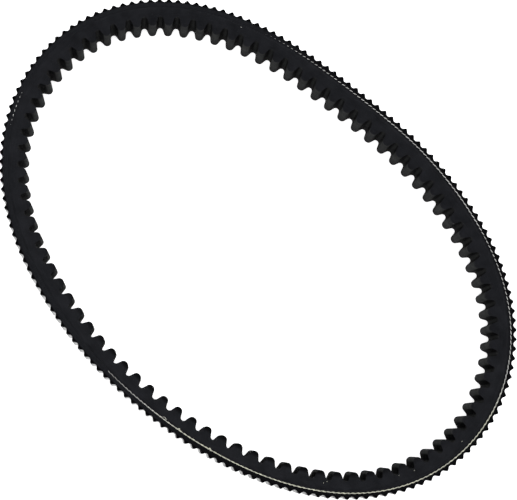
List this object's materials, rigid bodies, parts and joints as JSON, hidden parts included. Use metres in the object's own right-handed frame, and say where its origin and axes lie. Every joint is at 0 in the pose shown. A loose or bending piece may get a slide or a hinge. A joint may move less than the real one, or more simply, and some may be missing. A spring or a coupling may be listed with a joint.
{
  "type": "v belt",
  "caption": "Endless double-cog raw-edge V belt for a variable-speed drive, lying on its side in a relaxed oval.",
  "frame": {"origin": "on the surface that the belt lies on, under the middle of the loop's box", "axes": "+Z across the belt's width, upwards from the side it lies on; +X along the loop's long axis"},
  "size_m": [0.4094, 0.273, 0.035],
  "materials": {
    "cog_fabric": "matt woven facing",
    "flank_rubber": "satin, cut and ground flanks",
    "gum_rubber": "satin",
    "cord_yarn": "twisted yarn, unglazed",
    "back_rubber": "satin",
    "back_fabric": "rubber-filled woven facing"
  },
  "bodies": {
    "root": {"inner_cog_fabric": "cog_fabric", "compression_rubber": "flank_rubber", "inner_adhesion_gum": "gum_rubber", "tension_cord": "cord_yarn", "outer_adhesion_gum": "gum_rubber", "back_rubber": "back_rubber", "back_fabric": "back_fabric"}
  },
  "joints": []
}
